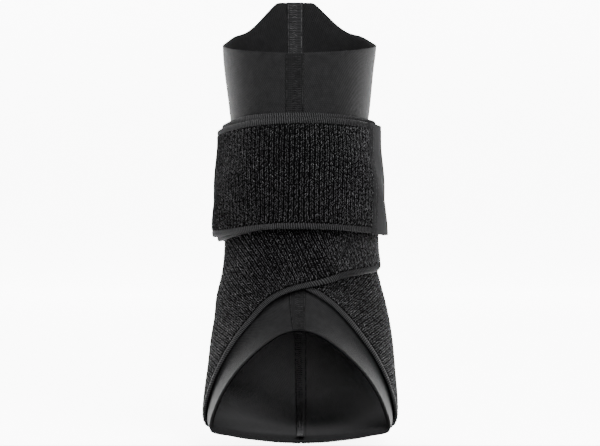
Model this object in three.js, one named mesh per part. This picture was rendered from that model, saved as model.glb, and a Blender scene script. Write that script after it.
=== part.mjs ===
// Ankle brace: a closed-heel neoprene sleeve, open at the calf and at the toes, with a wide ribbed elastic
// strap wound round it in a figure of eight. Millimetres, +Z up, the toes towards -Y, and the origin at the
// ankle joint. Every piece is a patch of one surface, the outside of the sleeve, lifted by its layer.
import * as THREE from "three";

// The sleeve, with heights measured from the sole
const tabHeight = 230;
const rimHeight = 196;
const ankleHeight = 75;
const sleeveDepth = 126;
const toeWidth = 89;
const sleeveWall = 2.6;

// The seam tapes, let into the neoprene by their own thickness
const tapeThickness = 0.6;
const tapeProud = 0.2;
const calfTapeWidth = 9.6;
const toeTapeWidth = 8.6;
const heelTapeWidth = 5.6;

// The elastic strap and its whipped edges
const strapWidth = 59;
const strapThickness = 1.6;
const edgeWidth = 3.8;
const edgeThickness = 1.8;
const hookTabLength = 44;

// Clearances between pieces that touch
const gap = 0.3;
const firstLift = 0.75;
const layerGap = 0.75;
const layerPitch = edgeThickness + layerGap;

// Where the strap passes over an edge of a lower layer it comes down over this length
const drapeMargin = 7;
const drapeLength = 24;

// Sections of the sleeve from the toe opening to above the calf rim, which are level from the eleventh on.
// Forward and up are shares of the sleeve's depth and of the tab's height, the rest of the toe opening's
// width: half its own width, and how far its sides and its two seams lie towards +X. Arch is 1 for the
// pointed arch of the foot and 0 for the oval of the leg.
const section = (frontY, frontZ, backY, backZ, half, arch, sway, frontSeam, backSeam) => ({
  frontY,
  frontZ,
  backY,
  backZ,
  half,
  arch,
  sway,
  frontSeam,
  backSeam,
});
const sections = [
  section(-0.54, 0.243, -0.619, 0.004, 0.503, 1, 0, -0.005, 0.004),
  section(-0.492, 0.261, -0.413, 0, 0.527, 0.85, 0, -0.011, 0.006),
  section(-0.444, 0.285, -0.19, 0, 0.534, 0.55, 0.004, -0.015, 0.006),
  section(-0.397, 0.315, 0.095, 0.007, 0.526, 0.25, 0.008, -0.015, 0.006),
  section(-0.365, 0.348, 0.294, 0.052, 0.51, 0.05, 0.01, -0.016, 0.006),
  section(-0.345, 0.383, 0.377, 0.135, 0.48, 0, 0.012, -0.017, 0.004),
  section(-0.329, 0.417, 0.377, 0.235, 0.435, 0, 0.016, -0.019, 0),
  section(-0.32, 0.457, 0.341, 0.339, 0.407, 0, 0.007, -0.022, -0.008),
  section(-0.313, 0.504, 0.313, 0.439, 0.416, 0, -0.005, -0.024, -0.017),
  section(-0.31, 0.574, 0.306, 0.557, 0.42, 0, -0.005, -0.027, -0.024),
  section(-0.31, 0.661, 0.312, 0.661, 0.4, 0, -0.005, -0.03, -0.03),
  section(-0.313, 0.743, 0.325, 0.743, 0.421, 0, -0.003, -0.031, -0.031),
  section(-0.32, 0.822, 0.341, 0.822, 0.444, 0, -0.006, -0.031, -0.031),
  section(-0.325, 0.883, 0.353, 0.883, 0.459, 0, -0.003, -0.031, -0.031),
  section(-0.333, 1.009, 0.369, 1.009, 0.471, 0, 0, -0.031, -0.031),
].map((row, index) => ({ ...row, at: index }));

// The pointed arch of the toe opening, by turn angle from the instep: side is a share of the half width
// and rise a share of the height
const archSection = [
  { turn: 0, side: 0, rise: 1 },
  { turn: 15, side: 0.2, rise: 0.965 },
  { turn: 30, side: 0.4, rise: 0.865 },
  { turn: 45, side: 0.585, rise: 0.735 },
  { turn: 60, side: 0.745, rise: 0.59 },
  { turn: 75, side: 0.88, rise: 0.42 },
  { turn: 90, side: 0.965, rise: 0.26 },
  { turn: 100, side: 1, rise: 0.15 },
  { turn: 107, side: 0.985, rise: 0.095 },
  { turn: 114, side: 0.925, rise: 0.072 },
  { turn: 125, side: 0.8, rise: 0.055 },
  { turn: 140, side: 0.58, rise: 0.024 },
  { turn: 160, side: 0.27, rise: 0.005 },
  { turn: 180, side: 0, rise: 0 },
];

// The top line by turn angle from the shin: it dips at the shin and rises to the pull tab at the back.
// Rise is a share of the tab's height above the rim.
const topLine = [
  { turn: 0, rise: 0 },
  { turn: 35, rise: 0.05 },
  { turn: 65, rise: 0.13 },
  { turn: 90, rise: 0.215 },
  { turn: 108, rise: 0.3 },
  { turn: 124, rise: 0.42 },
  { turn: 137.5, rise: 0.5 },
  { turn: 147, rise: 0.625 },
  { turn: 155, rise: 0.78 },
  { turn: 163, rise: 0.945 },
  { turn: 166.5, rise: 1 },
  { turn: 180, rise: 1 },
];

// The lower edge of each arm of the strap from its end at the sole seam: the turn angle round the leg,
// which goes on past 180 degrees for each further lap, the section that it lies at, and the strap's
// width there as a share, because the elastic narrows where it is stretched
const longArm = [
  { turn: -180, at: 1.03, width: 1 },
  { turn: -140, at: 1.03, width: 1 },
  { turn: -110, at: 1.08, width: 1 },
  { turn: -90, at: 1.17, width: 1 },
  { turn: -70, at: 1.32, width: 1 },
  { turn: -47, at: 1.7, width: 1 },
  { turn: -20, at: 2.4, width: 1 },
  { turn: 12, at: 3.5, width: 1 },
  { turn: 32, at: 4.6, width: 1 },
  { turn: 70, at: 6.1, width: 1 },
  { turn: 90, at: 6.65, width: 1 },
  { turn: 115, at: 7.08, width: 1 },
  { turn: 135, at: 7.36, width: 1 },
  { turn: 160, at: 7.57, width: 1 },
  { turn: 180, at: 7.67, width: 1 },
  { turn: 205, at: 7.73, width: 1 },
  { turn: 225, at: 7.72, width: 1.02 },
  { turn: 250, at: 7.65, width: 1.03 },
  { turn: 270, at: 7.53, width: 1.04 },
  { turn: 295, at: 7.27, width: 1.035 },
  { turn: 325, at: 7.12, width: 1.02 },
  { turn: 360, at: 7.1, width: 1 },
  { turn: 400, at: 7.34, width: 0.99 },
  { turn: 450, at: 7.82, width: 0.985 },
  { turn: 495, at: 8.08, width: 0.98 },
  { turn: 540, at: 8.15, width: 0.97 },
  { turn: 585, at: 8.04, width: 0.96 },
  { turn: 630, at: 7.69, width: 0.945 },
  { turn: 665, at: 7.35, width: 0.95 },
  { turn: 690, at: 7.12, width: 0.965 },
  { turn: 720, at: 6.98, width: 0.98 },
  { turn: 745, at: 7.07, width: 0.985 },
  { turn: 779, at: 7.37, width: 0.985 },
  { turn: 810, at: 7.69, width: 0.985 },
  { turn: 850, at: 7.98, width: 0.985 },
];
const shortArm = [
  { turn: 180, at: 1.03, width: 1 },
  { turn: 140, at: 1.03, width: 1 },
  { turn: 110, at: 1.08, width: 1 },
  { turn: 90, at: 1.17, width: 1 },
  { turn: 68, at: 1.38, width: 1 },
  { turn: 43, at: 1.85, width: 1 },
  { turn: 18, at: 2.75, width: 1 },
  { turn: 0, at: 3.45, width: 1 },
  { turn: -20, at: 4.2, width: 1 },
  { turn: -45, at: 5.1, width: 1 },
  { turn: -75, at: 6.31, width: 1 },
  { turn: -105, at: 7.1, width: 1 },
  { turn: -140, at: 7.68, width: 1 },
];
const hookTabTurn = 775;

const radians = THREE.MathUtils.degToRad;
const mix = THREE.MathUtils.lerp;

// A smooth curve through one column of a table, as a function of another column
function curve(rows, knot, column) {
  const slopes = rows.map((row, i) => {
    const before = rows[Math.max(i - 1, 0)];
    const after = rows[Math.min(i + 1, rows.length - 1)];
    return (after[column] - before[column]) / (after[knot] - before[knot]);
  });
  const sense = Math.sign(rows[rows.length - 1][knot] - rows[0][knot]);
  return (value) => {
    let i = 0;
    while (i < rows.length - 2 && sense * value > sense * rows[i + 1][knot]) i++;
    const span = rows[i + 1][knot] - rows[i][knot];
    const t = (value - rows[i][knot]) / span;
    const t2 = t * t;
    const t3 = t2 * t;
    return (
      (2 * t3 - 3 * t2 + 1) * rows[i][column] +
      (t3 - 2 * t2 + t) * span * slopes[i] +
      (3 * t2 - 2 * t3) * rows[i + 1][column] +
      (t3 - t2) * span * slopes[i + 1]
    );
  };
}

// Straight lines through one column of a table
function line(rows, knot, column) {
  return (value) => {
    let i = 0;
    while (i < rows.length - 2 && value > rows[i + 1][knot]) i++;
    const t = THREE.MathUtils.clamp((value - rows[i][knot]) / (rows[i + 1][knot] - rows[i][knot]), 0, 1);
    return mix(rows[i][column], rows[i + 1][column], t);
  };
}

// A table of one side is mirrored, so that the curve through it is smooth across the middle
const mirrored = archSection
  .slice(1)
  .reverse()
  .map(({ turn, side, rise }) => ({ turn: -turn, side: -side, rise }))
  .concat(archSection);
const archSide = curve(mirrored, "turn", "side");
const archRise = curve(mirrored, "turn", "rise");
const sectionNames = ["frontY", "frontZ", "backY", "backZ", "half", "arch", "sway", "frontSeam", "backSeam"];
const sectionColumn = Object.fromEntries(sectionNames.map((name) => [name, curve(sections, "at", name)]));
const topRise = curve(topLine, "turn", "rise");

// A turn angle brought between -180 and 180 degrees
const wrapped = (turn) => THREE.MathUtils.euclideanModulo(turn + 180, 360) - 180;

// The sleeve's outside at a turn angle and a section
function onSleeve(turn, at) {
  const angle = wrapped(turn);
  const share = Object.fromEntries(Object.entries(sectionColumn).map(([name, f]) => [name, f(at)]));
  const side = mix(Math.sin(radians(angle)), archSide(angle), share.arch);
  const rise = mix((1 + Math.cos(radians(angle))) / 2, archRise(angle), share.arch);
  const height = mix(share.backZ, share.frontZ, rise) * tabHeight;
  const seam = mix(share.backSeam, share.frontSeam, rise);
  return new THREE.Vector3(
    (side * share.half + mix(seam, share.sway, side ** 2)) * toeWidth,
    mix(share.backY, share.frontY, rise) * sleeveDepth,
    height - ankleHeight,
  );
}

// The two directions of the surface at a place, per degree and per section
function directions(turn, at) {
  const turnStep = 0.5;
  const atStep = 0.02;
  return {
    round: onSleeve(turn + turnStep, at)
      .sub(onSleeve(turn - turnStep, at))
      .divideScalar(2 * turnStep),
    up: onSleeve(turn, at + atStep)
      .sub(onSleeve(turn, at - atStep))
      .divideScalar(2 * atStep),
  };
}

// A place lifted off the sleeve along its normal
function lifted(turn, at, lift) {
  const { round, up } = directions(turn, at);
  return onSleeve(turn, at).addScaledVector(round.cross(up).normalize(), lift);
}

// The section at which the leg reaches a height, by halving the range of the level sections
const firstLevelSection = 10;
const halvings = 30;
function sectionAtHeight(height) {
  let low = firstLevelSection;
  let high = sections.length - 1;
  for (let i = 0; i < halvings; i++) {
    const middle = (low + high) / 2;
    if (sectionColumn.frontZ(middle) * tabHeight < height) low = middle;
    else high = middle;
  }
  return low;
}
const topSection = (turn) =>
  sectionAtHeight(mix(rimHeight, tabHeight, topRise(Math.abs(wrapped(turn)))));

// A closed body between two grids of points, the outer and the inner face of a piece of cloth. Each grid
// is a list of columns that run along the piece's left side first, seen from outside with the rows going up.
function clothBody(outer, inner) {
  const columns = outer.length;
  const rows = outer[0].length;
  const positions = [...outer.flat(), ...inner.flat()].flatMap((p) => [p.x, p.y, p.z]);
  const indices = [];
  const index = (face, column, row) => face * columns * rows + column * rows + row;
  const quad = (a, b, c, d) => indices.push(a, b, c, a, c, d);
  for (let i = 0; i < columns - 1; i++) {
    for (let j = 0; j < rows - 1; j++) {
      quad(index(0, i, j), index(0, i + 1, j), index(0, i + 1, j + 1), index(0, i, j + 1));
      quad(index(1, i, j), index(1, i, j + 1), index(1, i + 1, j + 1), index(1, i + 1, j));
    }
    quad(index(1, i, 0), index(1, i + 1, 0), index(0, i + 1, 0), index(0, i, 0));
    const top = rows - 1;
    quad(index(0, i, top), index(0, i + 1, top), index(1, i + 1, top), index(1, i, top));
  }
  for (let j = 0; j < rows - 1; j++) {
    quad(index(1, 0, j), index(0, 0, j), index(0, 0, j + 1), index(1, 0, j + 1));
    const last = columns - 1;
    quad(index(0, last, j), index(1, last, j), index(1, last, j + 1), index(0, last, j + 1));
  }
  const geometry = new THREE.BufferGeometry();
  geometry.setAttribute("position", new THREE.Float32BufferAttribute(positions, 3));
  geometry.setIndex(indices);
  geometry.computeVertexNormals();
  return geometry;
}

const brace = new THREE.Group();
brace.name = "ankle_brace";

function add(name, geometry, material) {
  const mesh = new THREE.Mesh(geometry, material);
  mesh.name = name;
  brace.add(mesh);
}

const jersey = new THREE.MeshStandardMaterial({ color: 0x343436, roughness: 0.85, metalness: 0 });
const tapeJersey = new THREE.MeshStandardMaterial({ color: 0x2a2a2c, roughness: 0.9, metalness: 0 });
const loopPile = new THREE.MeshStandardMaterial({ color: 0x19191a, roughness: 0.95, metalness: 0 });
const whipping = new THREE.MeshStandardMaterial({ color: 0x3c3c3e, roughness: 0.85, metalness: 0 });
const hookNylon = new THREE.MeshStandardMaterial({ color: 0x48484a, roughness: 0.7, metalness: 0 });

// The rows of the sleeve: fixed sections up the foot and leg, then equal steps to the top line
const sleeveSections = [0, 0.6, 1.3, 2, 2.7, 3.4, 4.1, 4.8, 5.5, 6.2, 6.9, 7.7, 8.5, 9.3, 10, 10.8];
const rimRows = 4;
function sleeveRows(turn) {
  const last = sleeveSections[sleeveSections.length - 1];
  const top = topSection(turn);
  const upper = Array.from({ length: rimRows }, (_, i) => mix(last, top, (i + 1) / rimRows));
  return sleeveSections.concat(upper);
}

// The turn angle that lies half a width from the middle of the front or back
const halfTurn = (width, at) =>
  THREE.MathUtils.radToDeg(Math.asin(width / (2 * sectionColumn.half(at) * toeWidth)));
const frontTapeWidth = (at) => mix(toeTapeWidth, calfTapeWidth, at / sections.length);
const backTapeWidth = (at) => mix(heelTapeWidth, calfTapeWidth, at / sections.length);

// One panel of the sleeve, from the front seam round the side to the back seam. It thins under each tape.
const panelTurns = [18, 31, 44, 57, 70, 82, 92, 100, 107, 114, 124, 136, 147, 155, 163, 167];
const letIn = tapeThickness + gap - tapeProud;
const recessMargin = 2 * gap;
const recessSlope = 0.8;
function sleevePanel(side) {
  const stops = [
    { from: 0, width: () => 0, front: letIn, back: 0 },
    { from: 0, width: (at) => frontTapeWidth(at) + recessMargin, front: letIn, back: 0 },
    { from: 0, width: (at) => frontTapeWidth(at) + recessMargin + recessSlope, front: 0, back: 0 },
    ...panelTurns.map((turn) => ({ from: turn, width: () => 0, front: 0, back: 0 })),
    { from: 180, width: (at) => -backTapeWidth(at) - recessMargin - recessSlope, front: 0, back: 0 },
    { from: 180, width: (at) => -backTapeWidth(at) - recessMargin, front: 0, back: letIn },
    { from: 180, width: () => 0, front: 0, back: letIn },
  ];
  const grid = (face) =>
    stops.map((stop) =>
      sleeveRows(stop.from).map((at) => {
        const turn = stop.from + halfTurn(stop.width(at), at);
        const point = lifted(side * turn, at, face === "outer" ? -stop.front : stop.back - sleeveWall);
        point.x += (side * gap) / 2;
        return point;
      }),
    );
  const [outer, inner] = [grid("outer"), grid("inner")];
  return side > 0 ? clothBody(outer, inner) : clothBody(outer.reverse(), inner.reverse());
}
add("sleeve_right", sleevePanel(1), jersey);
add("sleeve_left", sleevePanel(-1), jersey);

// A seam tape along the middle of the front or the back
function seamTape(middle, widthAt, outerLift) {
  const grid = (lift) =>
    [-1, 0, 1].map((edge) =>
      sleeveRows(middle).map((at) => lifted(middle + halfTurn(edge * widthAt(at), at), at, lift)),
    );
  return clothBody(grid(outerLift), grid(outerLift - tapeThickness));
}
add("front_seam", seamTape(0, frontTapeWidth, tapeProud), tapeJersey);
add("back_seam", seamTape(180, backTapeWidth, tapeThickness - tapeProud - sleeveWall), tapeJersey);

// Places on a strap: from its lower edge at a turn angle, straight across the cloth to each distance. The
// walk keeps to the surface by taking short strides and turning the heading back into it after each.
const longestStride = 2;
const edgeProbe = 6;
function acrossStrap(arm, turn, distances) {
  const edge = arm.at;
  const onEdge = (t) => onSleeve(t, edge(t));
  const along = onEdge(turn + edgeProbe).sub(onEdge(turn - edgeProbe));
  let place = { turn, at: edge(turn) };
  const first = directions(place.turn, place.at);
  let heading = first.round.clone().cross(first.up).cross(along).normalize();
  if (heading.dot(first.up) < 0) heading.negate();
  const places = [];
  let walked = 0;
  for (const distance of distances) {
    const strides = Math.max(1, Math.ceil((distance - walked) / longestStride));
    const stride = (distance - walked) / strides;
    for (let i = 0; i < strides; i++) {
      const { round, up } = directions(place.turn, place.at);
      const normal = round.clone().cross(up).normalize();
      heading.addScaledVector(normal, -heading.dot(normal)).normalize();
      const rr = round.dot(round);
      const ru = round.dot(up);
      const uu = up.dot(up);
      const hr = heading.dot(round) * stride;
      const hu = heading.dot(up) * stride;
      const det = rr * uu - ru * ru;
      place = {
        turn: place.turn + (hr * uu - hu * ru) / det,
        at: place.at + (hu * rr - hr * ru) / det,
      };
    }
    walked = distance;
    places.push(place);
  }
  return places;
}

// The edges of an arm as functions of the turn angle
const edgeStep = 5;
function armEdges(rows) {
  const arm = {
    at: curve(rows, "turn", "at"),
    width: curve(rows, "turn", "width"),
    from: rows[0].turn,
    to: rows[rows.length - 1].turn,
  };
  const sense = Math.sign(arm.to - arm.from);
  const upper = [];
  for (let turn = arm.from; sense * (arm.to - turn) >= 0; turn += sense * edgeStep) {
    upper.push(acrossStrap(arm, turn, [arm.width(turn) * strapWidth])[0]);
  }
  arm.upperAt = line(upper.sort((a, b) => a.turn - b.turn), "turn", "at");
  return arm;
}
const longStrap = armEdges(longArm);
const shortStrap = armEdges(shortArm);

// How far an arm lifts what lies over it at a place: 1 on the arm, falling to 0 past its edges and end
function covered(arm, turn, at) {
  const { round, up } = directions(turn, at);
  const past = Math.max(
    (arm.at(turn) - at) * up.length(),
    (at - arm.upperAt(turn)) * up.length(),
    (Math.min(arm.from, arm.to) - turn) * round.length(),
    (turn - Math.max(arm.from, arm.to)) * round.length(),
    0,
  );
  return 1 - THREE.MathUtils.smoothstep(past, drapeMargin, drapeMargin + drapeLength);
}

// The layer of the long arm at a place: it lies over the short arm and over its own earlier laps
function longLayer(turn, at) {
  let layer = 1 + covered(shortStrap, wrapped(turn), at);
  for (let below = turn - 360; below >= longStrap.from; below -= 360) {
    layer += covered(longStrap, below, at);
  }
  return layer;
}
const shortLayer = () => 1;

// A strip of the strap between two shares of its width
function strapStrip(arm, layerAt, turns, band, thickness, cuts) {
  const placed = turns.map((turn) => {
    const width = arm.width(turn) * strapWidth;
    const [low, high] = band(width);
    const distances = Array.from({ length: cuts + 1 }, (_, i) => mix(low, high, i / cuts));
    return acrossStrap(arm, turn, distances);
  });
  const grid = (raise) =>
    placed.map((places) =>
      places.map(({ turn, at }) => {
        const lift = firstLift + (layerAt(turn, at) - 1) * layerPitch;
        return lifted(turn, at, lift + raise);
      }),
    );
  const [outer, inner] = [grid(thickness), grid(0)];
  return turns[0] < turns[1] ? clothBody(outer, inner) : clothBody(outer.reverse(), inner.reverse());
}

// Turn angles along a strap, closer together where the cloth turns round the corner of the sole or fans
// out. A step is shortened until no place across the strap moves further than the widest step allows.
const widestStep = 10;
const cornerStep = 5;
const cornerFrom = 96;
const cornerTo = 124;
const shortestStep = 2;
const shortenBy = 0.8;
const stretchLastBy = 1.3;
const allowance = 1.05;
const probeShares = [0.02, 0.5, 1];
function strapTurns(arm, from, to) {
  const sense = Math.sign(to - from);
  const placesAt = (turn) => acrossStrap(arm, turn, probeShares.map((share) => share * strapWidth));
  const isCorner = (turn) => Math.abs(turn) > cornerFrom && Math.abs(turn) < cornerTo;
  const turns = [from];
  let before = placesAt(from);
  while (turns[turns.length - 1] !== to) {
    const last = turns[turns.length - 1];
    let step = widestStep;
    let next;
    let after;
    do {
      next = sense * (to - last) < stretchLastBy * step ? to : last + sense * step;
      after = placesAt(next);
      step *= shortenBy;
    } while (
      step > shortestStep &&
      after.some((place, i) => {
        const most = isCorner(place.turn) || isCorner(before[i].turn) ? cornerStep : widestStep;
        return Math.abs(place.turn - before[i].turn) > allowance * most;
      })
    );
    turns.push(next);
    before = after;
  }
  return turns;
}

const bands = {
  lower_edge: () => [0, edgeWidth],
  field: (width) => [edgeWidth + gap, width - edgeWidth - gap],
  upper_edge: (width) => [width - edgeWidth, width],
};
const sewnEnd = 0.5;
const fieldCuts = 6;
const longTurns = strapTurns(longStrap, longStrap.from + sewnEnd, hookTabTurn);
const shortTurns = strapTurns(shortStrap, shortStrap.from - sewnEnd, shortStrap.to);
const longField = strapStrip(longStrap, longLayer, longTurns, bands.field, strapThickness, fieldCuts);
const shortField = strapStrip(shortStrap, shortLayer, shortTurns, bands.field, strapThickness, fieldCuts);
add("strap_long", longField, loopPile);
add("strap_short", shortField, loopPile);
for (const side of ["lower_edge", "upper_edge"]) {
  const strip = (arm, layer, turns) => strapStrip(arm, layer, turns, bands[side], edgeThickness, 1);
  add(`strap_long_${side}`, strip(longStrap, longLayer, longTurns), whipping);
  add(`strap_short_${side}`, strip(shortStrap, shortLayer, shortTurns), whipping);
}

// The hook tab is sewn to the end of the long arm and lies on the loops of the lap below
const tabSteps = 10;
const onLowerEdge = (turn) => onSleeve(turn, longStrap.at(turn));
const tabStart = hookTabTurn + sewnEnd;
let tabEnd = tabStart;
for (let left = hookTabLength; left > 0; ) {
  const degree = onLowerEdge(tabEnd).distanceTo(onLowerEdge(tabEnd + 1));
  tabEnd += Math.min(1, left / degree);
  left -= degree;
}
const tabTurns = Array.from({ length: tabSteps + 1 }, (_, i) => mix(tabStart, tabEnd, i / tabSteps));
const wholeWidth = (width) => [0, width];
const tabLayer = (turn, at) => longLayer(turn, at) + (2 * gap) / layerPitch;
add("hook_tab", strapStrip(longStrap, tabLayer, tabTurns, wholeWidth, strapThickness, fieldCuts), hookNylon);

export default brace;
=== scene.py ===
# Ankle brace: a closed-heel neoprene sleeve with a wide ribbed elastic strap wound round it in a figure of
# eight. Metres, +Z up the leg, the toes towards -Y, and the origin at the ankle joint, as in the CAD frame.
import math
from collections import namedtuple

import bmesh
import bpy
import numpy as np
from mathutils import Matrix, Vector


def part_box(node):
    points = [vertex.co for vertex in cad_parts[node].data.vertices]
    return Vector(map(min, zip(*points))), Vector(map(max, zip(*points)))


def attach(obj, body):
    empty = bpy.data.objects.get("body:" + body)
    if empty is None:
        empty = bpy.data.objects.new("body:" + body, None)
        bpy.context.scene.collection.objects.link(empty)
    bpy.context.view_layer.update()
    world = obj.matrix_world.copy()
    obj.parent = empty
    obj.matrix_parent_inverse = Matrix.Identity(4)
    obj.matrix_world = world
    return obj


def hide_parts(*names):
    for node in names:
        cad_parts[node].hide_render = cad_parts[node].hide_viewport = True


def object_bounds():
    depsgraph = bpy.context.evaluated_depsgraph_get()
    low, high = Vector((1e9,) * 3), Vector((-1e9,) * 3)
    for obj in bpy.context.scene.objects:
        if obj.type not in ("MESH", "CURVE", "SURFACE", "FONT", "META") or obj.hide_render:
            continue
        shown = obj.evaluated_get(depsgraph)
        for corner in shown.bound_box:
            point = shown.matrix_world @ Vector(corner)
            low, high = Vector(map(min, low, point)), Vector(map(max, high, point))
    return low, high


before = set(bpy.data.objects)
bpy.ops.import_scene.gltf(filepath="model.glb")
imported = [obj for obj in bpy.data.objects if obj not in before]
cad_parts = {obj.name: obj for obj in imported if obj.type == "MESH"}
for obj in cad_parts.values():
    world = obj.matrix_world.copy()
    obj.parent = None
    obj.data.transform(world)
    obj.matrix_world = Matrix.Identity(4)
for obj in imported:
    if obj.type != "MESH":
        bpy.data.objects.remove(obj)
cad_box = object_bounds()
mm = 0.001


# The sleeve. Two panels of neoprene, 2.6 mm thick and faced with smooth nylon jersey on both sides, are
# moulded to the heel and sewn edge to edge down the shin and round the back and sole. The edges are cut
# and skived thin at both openings, and each panel carries half of the pull tab.
sleeve_boxes = [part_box("sleeve_left"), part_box("sleeve_right")]
sole = min(low.z for low, high in sleeve_boxes)
tab_height = max(high.z for low, high in sleeve_boxes) - sole
rim_height = 196 * mm
sleeve_depth = 126 * mm
toe_width = 89 * mm
sleeve_wall = 2.6 * mm
butt_gap = 0.04 * mm

# Sections from the toe opening to above the calf rim. Forward and up are shares of the sleeve's depth and
# of the tab's height, the rest of the toe opening's width: half its own width, and how far its sides and
# its two seams lie towards +X. Arch is 1 for the pointed arch of the foot and 0 for the oval of the leg.
Section = namedtuple("Section", "at front_y front_z back_y back_z half arch sway front_seam back_seam")
sections = [
    Section(0, -0.54, 0.243, -0.619, 0.004, 0.503, 1, 0, -0.005, 0.004),
    Section(1, -0.492, 0.261, -0.413, 0, 0.527, 0.85, 0, -0.011, 0.006),
    Section(2, -0.444, 0.285, -0.19, 0, 0.534, 0.55, 0.004, -0.015, 0.006),
    Section(3, -0.397, 0.315, 0.095, 0.007, 0.526, 0.25, 0.008, -0.015, 0.006),
    Section(4, -0.365, 0.348, 0.294, 0.052, 0.51, 0.05, 0.01, -0.016, 0.006),
    Section(5, -0.345, 0.383, 0.377, 0.135, 0.48, 0, 0.012, -0.017, 0.004),
    Section(6, -0.329, 0.417, 0.377, 0.235, 0.435, 0, 0.016, -0.019, 0),
    Section(7, -0.32, 0.457, 0.341, 0.339, 0.407, 0, 0.007, -0.022, -0.008),
    Section(8, -0.313, 0.504, 0.313, 0.439, 0.416, 0, -0.005, -0.024, -0.017),
    Section(9, -0.31, 0.574, 0.306, 0.557, 0.42, 0, -0.005, -0.027, -0.024),
    Section(10, -0.31, 0.661, 0.312, 0.661, 0.4, 0, -0.005, -0.03, -0.03),
    Section(11, -0.313, 0.743, 0.325, 0.743, 0.421, 0, -0.003, -0.031, -0.031),
    Section(12, -0.32, 0.822, 0.341, 0.822, 0.444, 0, -0.006, -0.031, -0.031),
    Section(13, -0.325, 0.883, 0.353, 0.883, 0.459, 0, -0.003, -0.031, -0.031),
    Section(14, -0.333, 1.009, 0.369, 1.009, 0.471, 0, 0, -0.031, -0.031),
]

# The arch of the toe opening by turn angle from the instep, and the top line by turn angle from the shin
ArchPoint = namedtuple("ArchPoint", "turn side rise")
arch_half = [
    ArchPoint(0, 0, 1),
    ArchPoint(15, 0.2, 0.965),
    ArchPoint(30, 0.4, 0.865),
    ArchPoint(45, 0.585, 0.735),
    ArchPoint(60, 0.745, 0.59),
    ArchPoint(75, 0.88, 0.42),
    ArchPoint(90, 0.965, 0.26),
    ArchPoint(100, 1, 0.15),
    ArchPoint(107, 0.985, 0.095),
    ArchPoint(114, 0.925, 0.072),
    ArchPoint(125, 0.8, 0.055),
    ArchPoint(140, 0.58, 0.024),
    ArchPoint(160, 0.27, 0.005),
    ArchPoint(180, 0, 0),
]
TopPoint = namedtuple("TopPoint", "turn rise")
top_line = [
    TopPoint(0, 0),
    TopPoint(35, 0.05),
    TopPoint(65, 0.13),
    TopPoint(90, 0.215),
    TopPoint(108, 0.3),
    TopPoint(124, 0.42),
    TopPoint(137.5, 0.5),
    TopPoint(147, 0.625),
    TopPoint(155, 0.78),
    TopPoint(163, 0.945),
    TopPoint(166.5, 1),
    TopPoint(180, 1),
]


def smooth(table, knot, column):
    """A smooth curve through one column of a table, as a function of another."""
    rows = sorted(table, key=lambda row: getattr(row, knot))
    x = np.array([getattr(row, knot) for row in rows], float)
    y = np.array([getattr(row, column) for row in rows], float)
    inner = (y[2:] - y[:-2]) / (x[2:] - x[:-2])
    first = (y[1] - y[0]) / (x[1] - x[0])
    last = (y[-1] - y[-2]) / (x[-1] - x[-2])
    slope = np.concatenate([[first], inner, [last]])

    def value(where):
        i = np.clip(np.searchsorted(x, where, side="right") - 1, 0, len(x) - 2)
        span = x[i + 1] - x[i]
        t = (where - x[i]) / span
        rising = (3 - 2 * t) * t**2
        leaving = t * (1 - t) ** 2 * span * slope[i]
        arriving = t**2 * (t - 1) * span * slope[i + 1]
        return (1 - rising) * y[i] + rising * y[i + 1] + leaving + arriving

    return value


def between(low, high, share):
    return low + (high - low) * share


def eased(share):
    """0 to 1 with level ends."""
    t = np.clip(share, 0, 1)
    return t * t * (3 - 2 * t)


mirrored = [ArchPoint(-p.turn, -p.side, p.rise) for p in arch_half[1:]]
arch_side = smooth(mirrored + arch_half, "turn", "side")
arch_rise = smooth(mirrored + arch_half, "turn", "rise")
section_curve = {name: smooth(sections, "at", name) for name in Section._fields[1:]}
top_rise = smooth(top_line, "turn", "rise")


def wrapped(turn):
    """A turn angle brought between -180 and 180 degrees."""
    return (turn + 180) % 360 - 180


def on_sleeve(turn, at):
    """The outside of the sleeve at a turn angle round the leg and a section along it."""
    angle = wrapped(np.asarray(turn, float))
    share = {name: column(np.asarray(at, float)) for name, column in section_curve.items()}
    side = between(np.sin(np.radians(angle)), arch_side(angle), share["arch"])
    rise = between((1 + np.cos(np.radians(angle))) / 2, arch_rise(angle), share["arch"])
    height = between(share["back_z"], share["front_z"], rise) * tab_height
    seam = between(share["back_seam"], share["front_seam"], rise)
    x = (side * share["half"] + between(seam, share["sway"], side**2)) * toe_width
    y = between(share["back_y"], share["front_y"], rise) * sleeve_depth
    return np.stack([x, y, height + sole], axis=-1)


def directions(turn, at):
    """The surface's two directions, per degree round it and per section up it."""
    half_turn, half_at = 0.5, 0.02
    round_it = (on_sleeve(turn + half_turn, at) - on_sleeve(turn - half_turn, at)) / (2 * half_turn)
    up_it = (on_sleeve(turn, at + half_at) - on_sleeve(turn, at - half_at)) / (2 * half_at)
    return round_it, up_it


def unit(vectors):
    return vectors / np.linalg.norm(vectors, axis=-1, keepdims=True)


def lifted(turn, at, lift):
    """A place lifted off the sleeve along its normal."""
    round_it, up_it = directions(turn, at)
    return on_sleeve(turn, at) + unit(np.cross(round_it, up_it)) * np.asarray(lift)[..., None]


level_sections = np.linspace(10, 14, 200)
level_heights = section_curve["front_z"](level_sections) * tab_height


def top_section(turn):
    """The section at which a panel ends, at the calf rim or the pull tab's edge."""
    height = between(rim_height, tab_height, top_rise(np.abs(wrapped(turn))))
    return np.interp(height, level_heights, level_sections)


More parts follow.
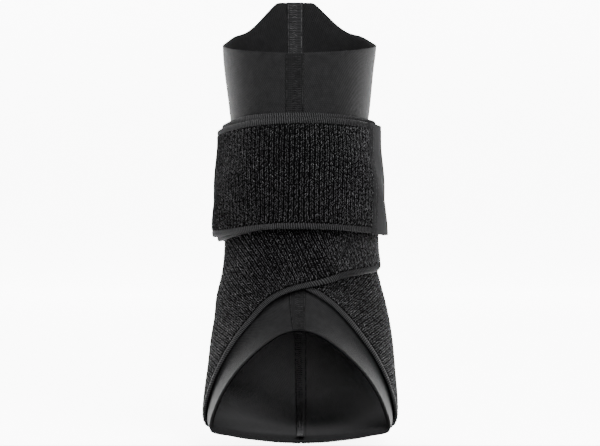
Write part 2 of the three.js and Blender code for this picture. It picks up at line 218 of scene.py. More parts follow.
def cloth(name, columns, rows, place):
    """A grid of cloth. From each vertex's shares of the way along and across it, place gives the vertex's
    spot and its coordinates on the flat cloth in metres, which become the UV map."""
    bm = bmesh.new()
    bmesh.ops.create_grid(bm, x_segments=columns, y_segments=rows, size=1)
    mesh = bpy.data.meshes.new(name)
    bm.to_mesh(mesh)
    bm.free()
    flat = np.empty(len(mesh.vertices) * 3)
    mesh.vertices.foreach_get("co", flat)
    along, across = (flat.reshape(-1, 3)[:, :2].T + 1) / 2
    spots, on_cloth = place(along, across)
    mesh.vertices.foreach_set("co", spots.ravel())
    corners = np.empty(len(mesh.loops), np.int32)
    mesh.loops.foreach_get("vertex_index", corners)
    mesh.uv_layers.new(name="cloth").data.foreach_set("uv", on_cloth[corners].ravel())
    mesh.shade_smooth()
    piece = bpy.data.objects.new(name, mesh)
    bpy.context.collection.objects.link(piece)
    return piece


def give_wall(piece, thickness, thinning=None, lined=False):
    """Thickness inwards from a grid of cloth. thinning holds a share of it for each vertex, and a lined
    piece has its second material on the inside and its third on its cut edges."""
    wall = piece.modifiers.new("wall", "SOLIDIFY")
    wall.thickness = thickness
    wall.offset = -1
    wall.use_even_offset = False
    if lined:
        wall.material_offset = 1
        wall.material_offset_rim = 2
    if thinning is not None:
        group = piece.vertex_groups.new(name="thinning")
        for vertex, weight in enumerate(thinning):
            group.add([vertex], float(weight), "REPLACE")
        wall.vertex_group = group.name


def dress(piece, finishes, slot, *nodes):
    """Gives a piece its materials and its place on the frame."""
    piece.data.materials.clear()
    for finish in finishes:
        piece.data.materials.append(finish.material)
    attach(piece, "root")
    if nodes:
        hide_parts(*nodes)


class Signal:
    """A shader socket that works as a number does in sums and products."""

    def __init__(self, finish, socket):
        self.finish = finish
        self.socket = socket

    def maths(self, operation, *values):
        return self.finish.node("ShaderNodeMath", {"operation": operation}, dict(enumerate(values)))

    def __add__(self, other):
        return self.maths("ADD", self, other)

    def __sub__(self, other):
        return self.maths("SUBTRACT", self, other)

    def __rsub__(self, other):
        return self.maths("SUBTRACT", other, self)

    def __mul__(self, other):
        return self.maths("MULTIPLY", self, other)

    def __pow__(self, other):
        return self.maths("POWER", self, other)

    def wave(self, pitch):
        """0 to 1 and back once each pitch."""
        return self.maths("SINE", self * (2 * math.pi / pitch)) * 0.5 + 0.5


class Finish:
    """One material: a Principled shader and the nodes that feed it."""

    def __init__(self, name, roughness, specular, sheen=0.0):
        self.material = bpy.data.materials.new(name)
        self.material.use_nodes = True
        self.tree = self.material.node_tree
        self.shader = self.tree.nodes["Principled BSDF"]
        self.shader.inputs["Roughness"].default_value = roughness
        self.shader.inputs["Specular IOR Level"].default_value = specular
        self.shader.inputs["Sheen Weight"].default_value = sheen
        self.shader.inputs["Sheen Roughness"].default_value = 0.4

    def node(self, kind, settings, inputs, output=0):
        made = self.tree.nodes.new(kind)
        for key, value in settings.items():
            setattr(made, key, value)
        for key, value in inputs.items():
            if isinstance(value, Signal):
                self.tree.links.new(value.socket, made.inputs[key])
            else:
                made.inputs[key].default_value = value
        return Signal(self, made.outputs[output])

    def feed(self, socket, signal):
        self.tree.links.new(signal.socket, self.shader.inputs[socket])

    def place(self):
        return self.node("ShaderNodeTexCoord", {}, {}, "Object")

    def on_cloth(self):
        """The coordinates along and across the flat cloth, in metres."""
        uv = self.node("ShaderNodeUVMap", {"uv_map": "cloth"}, {})
        return [self.node("ShaderNodeSeparateXYZ", {}, {0: uv}, axis) for axis in ("X", "Y")]

    def tint(self):
        return self.node("ShaderNodeAttribute", {"attribute_name": "tint"}, {}, "Fac")

    def mottle(self, grain, detail=2.0):
        """Soft noise from 0 to 1 whose grain is a length in metres."""
        inputs = {"Vector": self.place(), "Scale": 1 / grain, "Detail": detail}
        return self.node("ShaderNodeTexNoise", {}, inputs)

    def shade(self, dark, light, share):
        """A grey between two greys, with a cold cast."""
        ends = {6: (dark, dark, dark * 1.05, 1), 7: (light, light, light * 1.03, 1)}
        settings = {"data_type": "RGBA"}
        self.feed("Base Color", self.node("ShaderNodeMix", settings, {0: share, **ends}, 2))

    def relief(self, height, depth):
        """Small relief of a depth in metres, from a height of 0 to 1."""
        inputs = {"Strength": 1.0, "Distance": depth, "Height": height}
        self.feed("Normal", self.node("ShaderNodeBump", {}, inputs))


cloth_round = math.radians(1) * 40 * mm
cloth_up = tab_height / 12
heel_section = 4


def painted_light_round_heel(up_it):
    """Painted light for the inside faces: 1 round the heel, deep inside the foot where shade falls, falling
    to 0 at the toe opening and above the ankle.
    """
    away = up_it * (1 / cloth_up) - heel_section
    near = 1 - away.maths("ABSOLUTE", away) * (1 / heel_section)
    return near.maths("MAXIMUM", near, 0.0)


def jersey_finish(name, dark, light, paler, **gloss):
    """Fine knitted jersey: slanting wales crossed by courses, a little uneven in colour. paler is the share
    of its shade that comes from painted light round the heel, which lifts the shade inside the foot."""
    finish = Finish(name, **gloss)
    round_it, up_it = finish.on_cloth()
    wales = (round_it + up_it * 0.55).wave(1.15 * mm)
    courses = (up_it - round_it * 0.4).wave(0.8 * mm)
    knit = wales * 0.7 + courses * 0.3
    texture = knit * 0.6 + finish.mottle(3 * mm) * 0.4
    finish.shade(dark, light, texture * (1 - paler) + painted_light_round_heel(up_it) * paler)
    finish.relief(knit, 0.12 * mm)
    return finish


jersey = jersey_finish("nylon_jersey", 0.001, 0.018, 0, roughness=0.6, specular=0.03)
# The lining's colour carries painted light: it is painted paler round the heel, where the inside of the foot
# lies in shade.
lining = jersey_finish("lining_jersey", 0.002, 0.1, 0.9, roughness=0.85, specular=0.02)
cut_edge = Finish("cut_neoprene", roughness=0.9, specular=0.03)
cut_edge.shade(0.003, 0.014, cut_edge.mottle(0.6 * mm))

panel_columns, panel_rows = 110, 120
skived_share = 0.28
skived_sections = 0.3


def sleeve_panel(name, side):
    """One panel, from the seam at the shin round the side of the leg to the seam at the back."""
    skive = None

    def place(along, across):
        nonlocal skive
        turn = along * 180 - (0 if side > 0 else 180)
        top = top_section(turn)
        at = across * top
        spots = on_sleeve(turn, at)
        spots[:, 0] += side * butt_gap / 2
        from_edge = np.minimum(at, top - at) / skived_sections
        skive = between(skived_share, 1, eased(from_edge))
        return spots, np.stack([turn * cloth_round, at * cloth_up], axis=-1)

    piece = cloth(name, panel_columns, panel_rows, place)
    give_wall(piece, sleeve_wall, skive, lined=True)
    return piece


panel_right = sleeve_panel("panel_right", 1)
panel_left = sleeve_panel("panel_left", -1)
dress(panel_right, [jersey, lining, cut_edge], "jersey", "sleeve_right")
dress(panel_left, [jersey, lining, cut_edge], "jersey", "sleeve_left")


# The seam tapes. A knitted tape is sewn flat over the butted edges, outside down the shin and instep and
# inside round the back and sole. Flat-seam thread crosses each tape in ladders between its chain rows.
tape_thickness = 0.6 * mm
tape_proud = 0.15 * mm
stitch_foot = 0.4 * mm
calf_tape_width = 9.6 * mm
toe_tape_width = 8.6 * mm
heel_tape_width = 5.6 * mm
tape_columns, tape_rows = 12, 420


def tape_finish(name, dark, light, paler):
    """Knitted tape, with coarse ribs across it and finer ones along it, and painted light that makes it paler
    round the heel.
    """
    finish = Finish(name, roughness=0.85, specular=0.03, sheen=0.004)
    across, up = finish.on_cloth()
    ribs = up.wave(1.1 * mm) * 0.6 + across.wave(0.9 * mm) * 0.4
    texture = ribs * 0.7 + finish.mottle(1.5 * mm) * 0.3
    finish.shade(dark, light, texture * (1 - paler) + painted_light_round_heel(up) * paler)
    finish.relief(ribs, 0.15 * mm)
    return finish


tape_knit = tape_finish("tape_knit", 0.0015, 0.015, 0)
# The inside tape carries the same painted light round the heel as the lining.
tape_lining = tape_finish("tape_lining", 0.003, 0.092, 0.8)


def half_turn(width, at):
    """The turn angle that lies half a width from the middle of the front or the back."""
    return np.degrees(np.arcsin(width / (2 * section_curve["half"](at) * toe_width)))


def front_tape_width(at):
    return between(toe_tape_width, calf_tape_width, at / len(sections))


def back_tape_width(at):
    return between(heel_tape_width, calf_tape_width, at / len(sections))


def seam_tape(name, middle, width_at, outside_lift, faces_in):
    """A tape along the middle of the front or the back, rounded down at its edges."""

    def place(along, across):
        at = across * top_section(middle)
        edge = (1 - 2 * along) if faces_in else (2 * along - 1)
        crown = tape_thickness * 0.6 * (1 - edge**6)
        lift = outside_lift + (-crown if faces_in else crown)
        turn = middle + half_turn(edge * width_at(at), at)
        return lifted(turn, at, lift), np.stack([edge * width_at(at) / 2, at * cloth_up], axis=-1)

    piece = cloth(name, tape_columns, tape_rows, place)
    give_wall(piece, tape_thickness * 0.5)
    return piece


front_tape = seam_tape("front_tape", 0, front_tape_width, tape_proud, False)
back_tape = seam_tape("back_tape", 180, back_tape_width, -sleeve_wall - tape_proud, True)
dress(front_tape, [tape_knit], "tape_jersey", "front_seam")
dress(back_tape, [tape_lining], "tape_jersey", "back_seam")

thread = Finish("sewing_thread", roughness=0.65, specular=0.06, sheen=0.006)
thread.shade(0.0015, 0.02, thread.tint())
# The thread inside is a lighter copy of the sewing thread: painted light, to match the painted light on the
# lining.
lining_thread = Finish("lining_thread", roughness=0.65, specular=0.06)
lining_thread.shade(0.006, 0.06, lining_thread.tint())


def thread_arch(length, height, radius, steps=3, sides=4):
    """One loop of thread that leaves the cloth, arches over and goes back in."""
    bm = bmesh.new()
    bmesh.ops.create_circle(bm, segments=sides, radius=radius)
    bmesh.ops.translate(bm, verts=bm.verts, vec=(-length / 2, 0, 0))
    ring = bm.verts[:] + bm.edges[:]
    bmesh.ops.spin(bm, geom=ring, cent=(0, 0, 0), axis=(0, 1, 0), angle=math.pi, steps=steps)
    bmesh.ops.scale(bm, verts=bm.verts, vec=(1, 1, 2 * height / length))
    bmesh.ops.holes_fill(bm, edges=[edge for edge in bm.edges if edge.is_boundary], sides=0)
    bmesh.ops.recalc_face_normals(bm, faces=bm.faces)
    bmesh.ops.triangulate(bm, faces=bm.faces)
    return bm


def copies(name, shape, spots, ahead, normal, tints):
    """Copies of one small shape as one mesh, each on its own spot and turned to its own heading."""
    corners = np.array([vertex.co for vertex in shape.verts])
    faces = np.array([[vertex.index for vertex in face.verts] for face in shape.faces])
    shape.free()
    upright = unit(normal)
    ahead = unit(ahead - upright * (ahead * upright).sum(-1, keepdims=True))
    axes = np.stack([ahead, np.cross(upright, ahead), upright], axis=1)
    vertices = (spots[:, None, :] + corners @ axes).reshape(-1, 3)
    triangles = (faces + np.arange(len(spots))[:, None, None] * len(corners)).reshape(-1, 3)
    mesh = bpy.data.meshes.new(name)
    mesh.from_pydata(vertices, [], triangles)
    mesh.shade_smooth()
    tint = mesh.attributes.new("tint", "FLOAT", "POINT")
    tint.data.foreach_set("value", np.repeat(tints, len(corners)).astype(np.float32))
    piece = bpy.data.objects.new(name, mesh)
    bpy.context.collection.objects.link(piece)
    return piece


draws = np.random.default_rng(11)


def stitches(name, stitch, turn, at, heading, lift, inside=False):
    """Stitches at turn angles and sections. heading is each one's angle from straight round the leg, in
    degrees, and lift its foot's height above the outside of the sleeve."""
    round_it, up_it = directions(turn, at)
    normal = np.cross(round_it, up_it)
    tilt = np.radians(np.asarray(heading, float))[..., None]
    ahead = unit(round_it) * np.cos(tilt) + unit(up_it) * np.sin(tilt)
    spots = lifted(turn, at, lift)
    tints = draws.uniform(0.1, 0.9, len(spots))
    piece = copies(name, stitch, spots, ahead, -normal if inside else normal, tints)
    dress(piece, [lining_thread if inside else thread], "tape_jersey")
    return piece


def steps_up(middle, pitch):
    """Sections at equal steps of cloth along the middle of the front or the back."""
    fine = np.linspace(0, float(top_section(middle)), 2000)
    ways = np.linalg.norm(np.diff(on_sleeve(middle, fine), axis=0), axis=1)
    length = np.concatenate([[0], np.cumsum(ways)])
    return np.interp(np.arange(pitch / 2, length[-1] - pitch / 2, pitch), length, fine)


def tape_stitching(name, middle, width_at, lift, inside):
    """Chain rows near both edges of a tape and a ladder of slanting threads between them."""
    at = steps_up(middle, 1.25 * mm)
    edge, heading = np.array([(-0.84, 90), (-0.1, 25), (0.18, -25), (0.5, 12), (0.86, 90)]).T
    all_at = np.tile(at, len(edge))
    turn = middle + half_turn(np.repeat(edge, len(at)) * width_at(all_at), all_at)
    stitch = thread_arch(length=1.7 * mm, height=0.3 * mm, radius=0.19 * mm)
    return stitches(name, stitch, turn, all_at, np.repeat(heading, len(at)), lift, inside)


def join_stitching(name, middle, lift, inside):
    """The zigzag that pulls the butted edges together, on the face that has no tape."""
    at = steps_up(middle, 1.0 * mm)
    heading = np.where(np.arange(len(at)) % 2, 20.0, -20.0)
    stitch = thread_arch(length=3.2 * mm, height=0.25 * mm, radius=0.16 * mm)
    return stitches(name, stitch, np.full(len(at), float(middle)), at, heading, lift, inside)


front_stitches = [tape_stitching("front_tape_stitches", 0, front_tape_width, stitch_foot, False),
                  join_stitching("front_join_stitches", 0, -sleeve_wall, True)]
back_stitches = [tape_stitching("back_tape_stitches", 180, back_tape_width, -sleeve_wall - stitch_foot, True),
                 join_stitching("back_join_stitches", 180, 0, False)]


# The elastic strap. A woven elastic band 59 mm wide with ribs across it and loop pile on its outside is
# sewn to the sole, and its two arms wind up over the instep, cross, and go on round the ankle. Each arm is
# laid by its lower edge, and it lies one layer higher wherever it passes over cloth that is already there.
strap_width = 59 * mm
strap_thickness = 1.2 * mm
rib_height = 0.45 * mm
edge_width = 3.8 * mm
edge_thickness = 1.8 * mm
first_lift = 0.75 * mm
layer_pitch = edge_thickness + 0.75 * mm
drape_margin = 7 * mm
drape_length = 24 * mm
hook_tab_turn = 775
hook_tab_length = 44 * mm

EdgePoint = namedtuple("EdgePoint", "turn at width")
long_table = [
    EdgePoint(-180, 1.03, 1),
    EdgePoint(-140, 1.03, 1),
    EdgePoint(-110, 1.08, 1),
    EdgePoint(-90, 1.17, 1),
    EdgePoint(-70, 1.32, 1),
    EdgePoint(-47, 1.7, 1),
    EdgePoint(-20, 2.4, 1),
    EdgePoint(12, 3.5, 1),
    EdgePoint(32, 4.6, 1),
    EdgePoint(70, 6.1, 1),
    EdgePoint(90, 6.65, 1),
    EdgePoint(115, 7.08, 1),
    EdgePoint(135, 7.36, 1),
    EdgePoint(160, 7.57, 1),
    EdgePoint(180, 7.67, 1),
    EdgePoint(205, 7.73, 1),
    EdgePoint(225, 7.72, 1.02),
    EdgePoint(250, 7.65, 1.03),
    EdgePoint(270, 7.53, 1.04),
    EdgePoint(295, 7.27, 1.035),
    EdgePoint(325, 7.12, 1.02),
    EdgePoint(360, 7.1, 1),
    EdgePoint(400, 7.34, 0.99),
    EdgePoint(450, 7.82, 0.985),
    EdgePoint(495, 8.08, 0.98),
    EdgePoint(540, 8.15, 0.97),
    EdgePoint(585, 8.04, 0.96),
    EdgePoint(630, 7.69, 0.945),
    EdgePoint(665, 7.35, 0.95),
    EdgePoint(690, 7.12, 0.965),
    EdgePoint(720, 6.98, 0.98),
    EdgePoint(745, 7.07, 0.985),
    EdgePoint(779, 7.37, 0.985),
    EdgePoint(810, 7.69, 0.985),
    EdgePoint(850, 7.98, 0.985),
]
short_table = [
    EdgePoint(180, 1.03, 1),
    EdgePoint(140, 1.03, 1),
    EdgePoint(110, 1.08, 1),
    EdgePoint(90, 1.17, 1),
    EdgePoint(68, 1.38, 1),
    EdgePoint(43, 1.85, 1),
    EdgePoint(18, 2.75, 1),
    EdgePoint(0, 3.45, 1),
    EdgePoint(-20, 4.2, 1),
    EdgePoint(-45, 5.1, 1),
    EdgePoint(-75, 6.31, 1),
    EdgePoint(-105, 7.1, 1),
    EdgePoint(-140, 7.68, 1),
]
strides = 30


class Arm:
    """One arm of the strap: its lower edge, and the walk from there straight across the cloth."""

    def __init__(self, table):
        self.lower = smooth(table, "turn", "at")
        self.share = smooth(table, "turn", "width")
        self.first = min(row.turn for row in table)
        self.last = max(row.turn for row in table)
        knots = np.arange(self.first, self.last + 1, 5.0)
        turns, ats = self.walk(knots)
        order = np.argsort(turns[-1])
        self.top_turns, self.top_ats = turns[-1][order], ats[-1][order]

    def upper(self, turn):
        return np.interp(turn, self.top_turns, self.top_ats)

    def walk(self, turn):
        """Turn angles and sections at each stride from the lower edge to the upper."""
        turn = np.asarray(turn, float)
        at = self.lower(turn)
        probe = 6
        before, after = (on_sleeve(where, self.lower(where)) for where in (turn - probe, turn + probe))
        round_it, up_it = directions(turn, at)
        heading = np.cross(np.cross(round_it, up_it), after - before)
        heading *= np.sign((heading * up_it).sum(-1, keepdims=True))
        stride = self.share(turn) * strap_width / strides
        turns, ats = [turn], [at]
        for _ in range(strides):
            round_it, up_it = directions(turns[-1], ats[-1])
            normal = unit(np.cross(round_it, up_it))
            heading = unit(heading - normal * (heading * normal).sum(-1, keepdims=True))
            rr, uu = (round_it**2).sum(-1), (up_it**2).sum(-1)
            ru = (round_it * up_it).sum(-1)
            hr = (heading * round_it).sum(-1) * stride
            hu = (heading * up_it).sum(-1) * stride
            spread = rr * uu - ru**2
            turns.append(turns[-1] + (hr * uu - hu * ru) / spread)
            ats.append(ats[-1] + (hu * rr - hr * ru) / spread)
        return np.array(turns), np.array(ats)

    def places(self, turn, distance):
        """Turn angles and sections at distances across the cloth from the lower edge, for each turn."""
        knots, index = np.unique(turn, return_inverse=True)
        turns, ats = self.walk(knots)
        step = np.clip(distance / (self.share(turn) * strap_width) * strides, 0, strides)
        low = np.minimum(step.astype(int), strides - 1)
        part = step - low
        place_turn = between(turns[low, index], turns[low + 1, index], part)
        place_at = between(ats[low, index], ats[low + 1, index], part)
        return place_turn, place_at


long_arm = Arm(long_table)
short_arm = Arm(short_table)


def covered(arm, turn, at):
    """How far an arm lifts what lies over it: 1 on the arm, falling to 0 past its edges and ends."""
    round_it, up_it = directions(turn, at)
    per_degree, per_section = np.linalg.norm(round_it, axis=-1), np.linalg.norm(up_it, axis=-1)
    past = np.maximum.reduce([
        (arm.lower(turn) - at) * per_section,
        (at - arm.upper(turn)) * per_section,
        (arm.first - turn) * per_degree,
        (turn - arm.last) * per_degree,
    ])
    return 1 - eased((past - drape_margin) / drape_length)


def laps_below(turn):
    """The turn angles of the long arm's earlier laps under a place, and where there are any."""
    for laps in (1, 2):
        below = turn - 360 * laps
        yield below, below >= long_arm.first


def long_layer(turn, at):
    layer = 1 + covered(short_arm, wrapped(turn), at)
    for below, there in laps_below(turn):
        layer = layer + np.where(there, covered(long_arm, np.maximum(below, long_arm.first), at), 0)
    return layer


def short_layer(turn, at):
    return np.ones_like(turn)


# The way along each arm, measured down its middle, so that ribs and stitches keep their pitch
Run = namedtuple("Run", "name arm layer turns lengths")


def run_of(name, arm, layer, start, end):
    turns = np.linspace(min(start, end), max(start, end), 1400)
    middle = arm.share(turns) * strap_width / 2
    place_turn, place_at = arm.places(turns, middle)
    line = lifted(place_turn, place_at, first_lift + (layer(place_turn, place_at) - 1) * layer_pitch)
    lengths = np.concatenate([[0], np.cumsum(np.linalg.norm(np.diff(line, axis=0), axis=1))])
    return Run(name, arm, layer, turns, lengths)


# How far the arms stop short of the seam in the sole, and how far the tab starts under its stitches, in
# degrees round the leg
sewn_end = 0.1
tab_overlap = 1
long_run = run_of("long", long_arm, long_layer, long_arm.first + sewn_end, hook_tab_turn)
short_run = run_of("short", short_arm, short_layer, short_arm.first, short_arm.last - sewn_end)
tab_run = run_of("tab", long_arm, long_layer, hook_tab_turn - tab_overlap, long_arm.last)
hook_tab_end = np.interp(hook_tab_length, tab_run.lengths, tab_run.turns)


def on_strap(run, length, distance, lift):
    """A spot on a strap: a length along it, a distance across it and a lift above its inner face."""
    turn = np.interp(length, run.lengths, run.turns)
    place_turn, place_at = run.arm.places(turn, distance(run.arm.share(turn) * strap_width))
    layer = run.layer(place_turn, place_at)
    return lifted(place_turn, place_at, first_lift + (layer - 1) * layer_pitch + lift)


pile_ground = Finish("pile_ground", roughness=0.95, specular=0.02)
ground_along, ground_across = pile_ground.on_cloth()
rib_pitch = 2.5 * mm
loop_pitch = 1.2 * mm
ground_grain = ground_across.wave(loop_pitch) * 0.5 + pile_ground.mottle(0.8 * mm) * 0.5
pile_ground.shade(0.001, 0.003, ground_grain * ground_along.wave(rib_pitch))
pile_ground.relief(ground_grain, 0.4 * mm)

columns_each_rib = 6
field_rows = 24
tuck = 0.6 * mm


def strap_field(run):
    """The ribbed middle of the band, from one edge binding to the other."""
    whole = run.lengths[-1]
    ribs = round(whole / rib_pitch)

    def place(along, across):
        length = along * whole
        inset = edge_width - tuck
        rib = 1 - np.abs(2 * ((along * ribs) % 1) - 1) ** 2.4
        spots = on_strap(run, length, lambda width: between(inset, width - inset, across),
                         strap_thickness + rib_height * rib)
        return spots, np.stack([length, across * strap_width], axis=-1)

    piece = cloth(f"strap_{run.name}_field", ribs * columns_each_rib, field_rows, place)
    give_wall(piece, strap_thickness)
    return piece


long_field = strap_field(long_run)
short_field = strap_field(short_run)
dress(long_field, [pile_ground], "loop_pile", "strap_long")
dress(short_field, [pile_ground], "loop_pile", "strap_short")

pile_loop = Finish("pile_loop", roughness=0.75, specular=0.05)
# Each loop's tone differs at random, and the power leaves a few loops far lighter than the rest: partly
# random tone, partly painted glints for light caught by single loops.
pile_loop.shade(0.006, 0.07, pile_loop.tint() ** 1.6)


shown_margin = 0.1


def under_long_arm(turn, at):
    return (at > long_arm.lower(turn) + shown_margin) & (at < long_arm.upper(turn) - shown_margin)


def is_covered(run, turn, at):
    """Whether a later lap of the long arm, or its hook tab, lies over a place. The margin is in sections."""
    hidden = np.zeros(len(turn), bool)
    for laps in (1, 2, 3) if run is long_run else (0, 1, 2):
        above = (turn if run is long_run else wrapped(turn)) + 360 * laps
        inside = (above > long_arm.first) & (above < hook_tab_end)
        hidden |= inside & under_long_arm(above, at)
    if run is short_run:
        hidden |= under_long_arm(wrapped(turn), at)
    return hidden


def loop_pile(name, run, first, last):
    """Loops of yarn along each rib from one share of the arm's length to another, wherever no further lap
    lies on them."""
    whole = run.lengths[-1]
    ribs = round(whole / rib_pitch)
    per_rib = int((strap_width - 2 * edge_width) / loop_pitch)
    ribs_here = np.arange(round(first * ribs), round(last * ribs))
    rows = np.meshgrid(ribs_here, np.arange(per_rib), [-1, 1], indexing="ij")
    rib, step, side = (grid.ravel() for grid in rows)
    jitter = draws.normal(0, 1, (4, len(rib)))
    length = (rib + 0.5 + side * 0.21 + jitter[0] * 0.05) * whole / ribs
    share = np.clip((step + 0.5 + side * 0.2 + jitter[1] * 0.18) / per_rib, 0, 1)
    turn = np.interp(length, run.lengths, run.turns)
    width = run.arm.share(turn) * strap_width
    place_turn, place_at = run.arm.places(turn, between(edge_width, width - edge_width, share))
    seen = ~is_covered(run, place_turn, place_at)
    place_turn, place_at, turn = place_turn[seen], place_at[seen], turn[seen]
    layer = run.layer(place_turn, place_at)
    foot = first_lift + (layer - 1) * layer_pitch + strap_thickness + rib_height * 0.7
    round_it, up_it = directions(place_turn, place_at)
    spots = lifted(place_turn, place_at, foot)
    width, share = width[seen], share[seen]
    ends = [run.arm.places(turn, between(edge_width, width - edge_width, np.clip(share + step, 0, 1)))
            for step in (-0.02, 0.02)]
    ahead = unit(on_sleeve(*ends[1]) - on_sleeve(*ends[0]))
    sideways = np.cross(unit(np.cross(round_it, up_it)), ahead)
    lean = (side[seen] * 0.35 + jitter[2][seen] * 0.4)[:, None]
    loop = thread_arch(length=1.15 * mm, height=0.5 * mm, radius=0.22 * mm, sides=3)
    tints = np.clip(0.5 + jitter[3][seen] * 0.2, 0, 1)
    piece = copies(name, loop, spots, ahead + sideways * lean, np.cross(round_it, up_it), tints)
    dress(piece, [pile_loop], "loop_pile")
    return piece


top_band_from = 0.64
loops = {
    "long": [loop_pile("strap_long_loops", long_run, 0, top_band_from),
             loop_pile("top_band_loops", long_run, top_band_from, 1)],
    "short": [loop_pile("strap_short_loops", short_run, 0, 1)],
}


def rows_across(name, run, lengths, lift):
    """Rows of stitches straight across the strap at lengths along it."""
    across = np.arange(1, int(strap_width / (1.7 * mm))) * 1.7 * mm
    length, distance = (grid.ravel() for grid in np.meshgrid(lengths, across, indexing="ij"))
    step = 0.4 * mm
    low, middle, high = (on_strap(run, length, lambda width: distance * width / strap_width + way, lift)
                         for way in (-step, 0, step))
    nearer = on_strap(run, length, lambda width: distance * width / strap_width, lift + step)
    tints = draws.uniform(0.1, 0.9, len(length))
    stitch = thread_arch(length=1.5 * mm, height=0.35 * mm, radius=0.2 * mm)
    piece = copies(name, stitch, middle, high - low, nearer - middle, tints)
    dress(piece, [thread], "tape_jersey")
    return piece


on_pile = strap_thickness + rib_height
sole_stitches = {
    "long": rows_across("long_sole_stitches", long_run, [1.5 * mm, 4 * mm], on_pile),
    "short": rows_across("short_sole_stitches", short_run,
                         [short_run.lengths[-1] - 4 * mm, short_run.lengths[-1] - 1.5 * mm], on_pile),
}


# The edge bindings. Yarn is whipped closely round both edges of the elastic, which makes a firm, finely
# ribbed roll along each edge.
whip_pitch = 1.15 * mm
binding_sides = 10
columns_each_whip = 4

whipping = Finish("whipped_yarn", roughness=0.65, specular=0.04)
whip_along, whip_across = whipping.on_cloth()
whips_across = (whip_along + whip_across * 0.12).wave(whip_pitch)
# Painted shade and painted highlight: the yarn is painted dark in the grooves between its turns and light on
# their crests, following the relief.
whipping.shade(0.0005, 0.034, whips_across * whips_across * 0.75 + whipping.mottle(1.2 * mm) * 0.25)
whipping.relief(whips_across, 0.25 * mm)


def binding(run, side):
    """A whipped roll along one edge: an oval tube, pinched between the turns of its yarn."""
    whole = run.lengths[-1]
    whips = round(whole / whip_pitch)

    def place(along, across):
        length = along * whole
        angle = -2 * math.pi * across
        turns_of_yarn = 1 + 0.18 * np.cos(2 * math.pi * (along * whips + 0.25 * np.cos(angle)))
        out = np.sin(angle) * edge_thickness / 2 * turns_of_yarn
        sideways = np.cos(angle) * edge_width / 2 * (0.9 + 0.1 * turns_of_yarn)

        def distance(width):
            middle = edge_width / 2 if side == "lower" else width - edge_width / 2
            return np.clip(middle + sideways, 0, width)

        spots = on_strap(run, length, distance, edge_thickness / 2 + out)
        return spots, np.stack([length, across * edge_width * math.pi], axis=-1)

    piece = cloth(f"strap_{run.name}_{side}_binding", whips * columns_each_whip, binding_sides, place)
    bm = bmesh.new()
    bm.from_mesh(piece.data)
    bmesh.ops.remove_doubles(bm, verts=bm.verts, dist=0.005 * mm)
    bmesh.ops.holes_fill(bm, edges=[edge for edge in bm.edges if edge.is_boundary], sides=0)
    bmesh.ops.recalc_face_normals(bm, faces=bm.faces)
    bm.to_mesh(piece.data)
    bm.free()
    dress(piece, [whipping], "whipping", f"strap_{run.name}_{side}_edge")
    return piece


bindings = {run.name: [binding(run, side) for side in ("lower", "upper")] for run in (long_run, short_run)}


# The hook tab. A smooth strip of nylon with hooks underneath is sewn to the end of the long arm and grips
# the loops of the lap below.
hook_nylon = Finish("hook_nylon", roughness=0.95, specular=0.02)
hook_nylon.shade(0.009, 0.015, hook_nylon.mottle(1.5 * mm))
hook_nylon.relief(hook_nylon.mottle(0.5 * mm), 0.05 * mm)

tab_thickness = 1.6 * mm
tab_clearance = 0.5 * mm
tab_corner = 5 * mm


def tab_place(along, across):
    length = along * hook_tab_length
    into_corner = np.maximum(0, tab_corner - (hook_tab_length - length))
    round_off = tab_corner - np.sqrt(np.maximum(0, tab_corner**2 - into_corner**2))
    spots = on_strap(tab_run, length, lambda width: between(round_off, width - round_off, across),
                     tab_thickness + tab_clearance)
    return spots, np.stack([length, across * strap_width], axis=-1)


hook_tab = cloth("hook_tab_strip", 60, 40, tab_place)
give_wall(hook_tab, tab_thickness)
dress(hook_tab, [hook_nylon], "hook_nylon", "hook_tab")
tab_stitch_foot = tab_thickness + tab_clearance + 0.05 * mm
tab_stitches = rows_across("tab_stitches", tab_run, [1.4 * mm, 3.4 * mm], tab_stitch_foot)


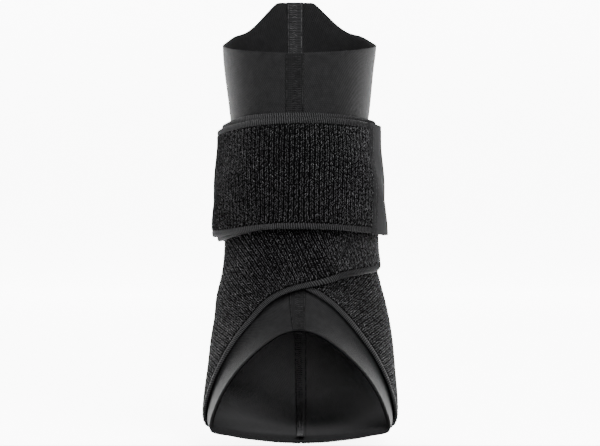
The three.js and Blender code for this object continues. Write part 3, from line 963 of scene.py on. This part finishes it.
# The setting: a white floor that curves up into a backdrop, soft light from the left, the front and above,
# a rim of light from the right, and the camera level with the middle of the brace, as in the photograph.
floor_z = cad_box[0].z - 1.2 * mm
backdrop_width, backdrop_depth, backdrop_height = 9.0, 3.0, 5.0
backdrop_bend = 0.6
floor_front = 0.05
bm = bmesh.new()
bmesh.ops.create_grid(bm, x_segments=2, y_segments=60, size=1)
for vertex in bm.verts:
    reach = (vertex.co.y + 1) / 2 * (floor_front + backdrop_depth + backdrop_height)
    flat = floor_front + backdrop_depth - backdrop_bend
    arc = math.pi / 2 * backdrop_bend
    angle = min(max(reach - flat, 0), arc) / backdrop_bend
    rise = max(reach - flat - arc, 0)
    vertex.co.x *= backdrop_width / 2
    vertex.co.y = -floor_front + min(reach, flat) + backdrop_bend * math.sin(angle)
    vertex.co.z = floor_z + backdrop_bend * (1 - math.cos(angle)) + rise
backdrop_mesh = bpy.data.meshes.new("backdrop")
bm.to_mesh(backdrop_mesh)
bm.free()
backdrop_mesh.shade_smooth()
backdrop = bpy.data.objects.new("backdrop", backdrop_mesh)
bpy.context.collection.objects.link(backdrop)
paper = Finish("white_paper", roughness=0.9, specular=0.1)
paper.shader.inputs["Base Color"].default_value = (0.92, 0.92, 0.92, 1)
paper.shader.inputs["Emission Color"].default_value = (1, 1, 1, 1)
paper.shader.inputs["Emission Strength"].default_value = 7.0
backdrop_mesh.materials.append(paper.material)

middle_height = 34.1 * mm
camera_distance = 1150 * mm
frame_width = 318 * mm
camera_data = bpy.data.cameras.new("camera")
camera_data.sensor_width = 36
camera_data.sensor_fit = "HORIZONTAL"
camera_data.lens = camera_data.sensor_width * camera_distance / frame_width
camera = bpy.data.objects.new("camera", camera_data)
camera.location = (0, -camera_distance, middle_height)
camera.rotation_euler = (math.pi / 2, 0, 0)
bpy.context.collection.objects.link(camera)
bpy.context.scene.camera = camera

Light = namedtuple("Light", "name place size power")
for light in (
    Light("rim_light_right", (1.0, 0.4, 0.3), 0.8, 7.5),
    Light("soft_box_left", (-0.8, -0.95, 0.4), 0.8, 15),
    Light("front_light_low", (0.1, -1.7, 0.1), 0.6, 8),
    Light("front_light_high", (0.5, -1.35, 0.8), 0.6, 36),
    Light("top_light", (0.45, -0.75, 1.4), 0.6, 26),
):
    data = bpy.data.lights.new(light.name, "AREA")
    data.shape = "SQUARE"
    data.size = light.size
    data.energy = light.power
    lamp = bpy.data.objects.new(light.name, data)
    lamp.location = light.place
    lamp.rotation_mode = "QUATERNION"
    lamp.rotation_quaternion = (-Vector(light.place)).to_track_quat("-Z", "Y")
    bpy.context.collection.objects.link(lamp)

world = bpy.data.worlds.new("studio")
world.use_nodes = True
world.node_tree.nodes["Background"].inputs["Color"].default_value = (1, 1, 1, 1)
world.node_tree.nodes["Background"].inputs["Strength"].default_value = 0.25
bpy.context.scene.world = world
